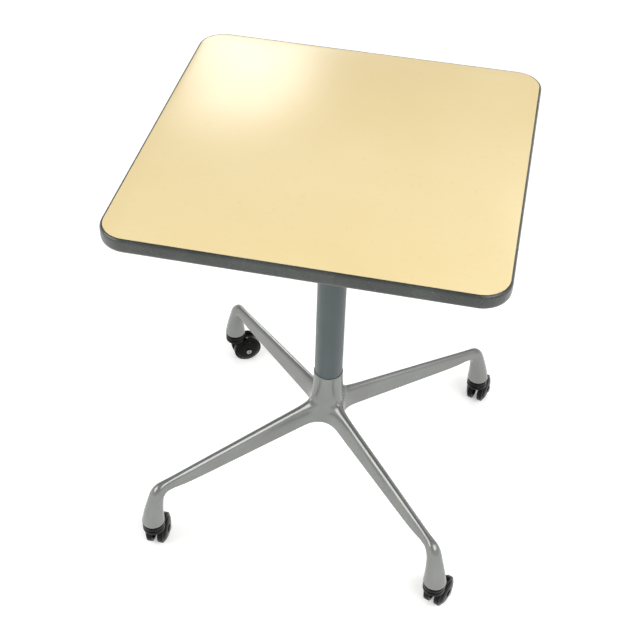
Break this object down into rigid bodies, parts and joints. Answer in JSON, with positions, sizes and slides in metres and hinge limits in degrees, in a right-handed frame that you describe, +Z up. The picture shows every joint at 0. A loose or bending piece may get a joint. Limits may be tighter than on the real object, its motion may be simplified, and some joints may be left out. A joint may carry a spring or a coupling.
{
  "type": "rolling side table",
  "caption": "Square laminate-topped side table with a grey vinyl edge, a round column and a cast cross base on swivelling twin-wheel casters.",
  "frame": {"origin": "on the floor, under the middle of the column", "axes": "+Z up, -Y towards the front edge of the square top, +X to its right"},
  "size_m": [0.5117, 0.5201, 0.661],
  "materials": {
    "laminate": "satin cream laminate",
    "board": "raw particle board",
    "backer": "matt backing sheet",
    "vinyl": "satin dark grey vinyl",
    "bracket": "satin black enamel",
    "column": "satin blue-grey enamel",
    "casting": "silver-grey satin coat on a casting",
    "steel": "zinc plated",
    "caster": "semi-gloss black nylon"
  },
  "bodies": {
    "frame": {"top_laminate": "laminate", "top_core": "board", "top_backer": "backer", "edge_band": "vinyl", "top_spider": "bracket", "column": "column", "tie_rod": "steel", "tie_rod_washer": "steel", "tie_rod_nut": "steel", "base_casting": "casting", "wood_screw_1": "steel", "wood_screw_2": "steel", "wood_screw_3": "steel", "wood_screw_4": "steel", "wood_screw_5": "steel", "wood_screw_6": "steel", "wood_screw_7": "steel", "wood_screw_8": "steel", "front_left_socket_sleeve": "steel", "front_left_caster_stem": "steel", "front_left_grip_ring": "steel", "front_right_socket_sleeve": "steel", "front_right_caster_stem": "steel", "front_right_grip_ring": "steel", "back_right_socket_sleeve": "steel", "back_right_caster_stem": "steel", "back_right_grip_ring": "steel", "back_left_socket_sleeve": "steel", "back_left_caster_stem": "steel", "back_left_grip_ring": "steel"},
    "front_left_caster": {"front_left_caster_body": "caster", "front_left_axle": "steel"},
    "front_right_caster": {"front_right_caster_body": "caster", "front_right_axle": "steel"},
    "back_right_caster": {"back_right_caster_body": "caster", "back_right_axle": "steel"},
    "back_left_caster": {"back_left_caster_body": "caster", "back_left_axle": "steel"},
    "front_left_left_wheel": {"front_left_wheel_left": "caster"},
    "front_left_right_wheel": {"front_left_wheel_right": "caster"},
    "front_right_left_wheel": {"front_right_wheel_left": "caster"},
    "front_right_right_wheel": {"front_right_wheel_right": "caster"},
    "back_right_left_wheel": {"back_right_wheel_left": "caster"},
    "back_right_right_wheel": {"back_right_wheel_right": "caster"},
    "back_left_left_wheel": {"back_left_wheel_left": "caster"},
    "back_left_right_wheel": {"back_left_wheel_right": "caster"}
  },
  "joints": [
    {"name": "front_left_swivel", "type": "hinge", "parent": "frame", "child": "front_left_caster", "pos_m": [-0.23058, -0.21622, 0.065], "axis": [0, 0, 1], "continuous": true},
    {"name": "front_left_left_wheel_spin", "type": "hinge", "parent": "front_left_caster", "child": "front_left_left_wheel", "pos_m": [-0.23126, -0.19674, 0.025], "axis": [-0.9994, -0.0349, 0], "continuous": true},
    {"name": "front_left_right_wheel_spin", "type": "hinge", "parent": "front_left_caster", "child": "front_left_right_wheel", "pos_m": [-0.23126, -0.19674, 0.025], "axis": [-0.9994, -0.0349, 0], "continuous": true},
    {"name": "front_right_swivel", "type": "hinge", "parent": "frame", "child": "front_right_caster", "pos_m": [0.21622, -0.23058, 0.065], "axis": [0, 0, 1], "continuous": true},
    {"name": "front_right_left_wheel_spin", "type": "hinge", "parent": "front_right_caster", "child": "front_right_left_wheel", "pos_m": [0.22321, -0.21237, 0.025], "axis": [-0.9336, 0.3584, 0], "continuous": true},
    {"name": "front_right_right_wheel_spin", "type": "hinge", "parent": "front_right_caster", "child": "front_right_right_wheel", "pos_m": [0.22321, -0.21237, 0.025], "axis": [-0.9336, 0.3584, 0], "continuous": true},
    {"name": "back_right_swivel", "type": "hinge", "parent": "frame", "child": "back_right_caster", "pos_m": [0.23058, 0.21622, 0.065], "axis": [0, 0, 1], "continuous": true},
    {"name": "back_right_left_wheel_spin", "type": "hinge", "parent": "back_right_caster", "child": "back_right_left_wheel", "pos_m": [0.23497, 0.23522, 0.025], "axis": [-0.9744, 0.225, 0], "continuous": true},
    {"name": "back_right_right_wheel_spin", "type": "hinge", "parent": "back_right_caster", "child": "back_right_right_wheel", "pos_m": [0.23497, 0.23522, 0.025], "axis": [-0.9744, 0.225, 0], "continuous": true},
    {"name": "back_left_swivel", "type": "hinge", "parent": "frame", "child": "back_left_caster", "pos_m": [-0.21622, 0.23058, 0.065], "axis": [0, 0, 1], "continuous": true},
    {"name": "back_left_left_wheel_spin", "type": "hinge", "parent": "back_left_caster", "child": "back_left_left_wheel", "pos_m": [-0.19969, 0.24091, 0.025], "axis": [-0.5299, 0.848, 0], "continuous": true},
    {"name": "back_left_right_wheel_spin", "type": "hinge", "parent": "back_left_caster", "child": "back_left_right_wheel", "pos_m": [-0.19969, 0.24091, 0.025], "axis": [-0.5299, 0.848, 0], "continuous": true}
  ]
}
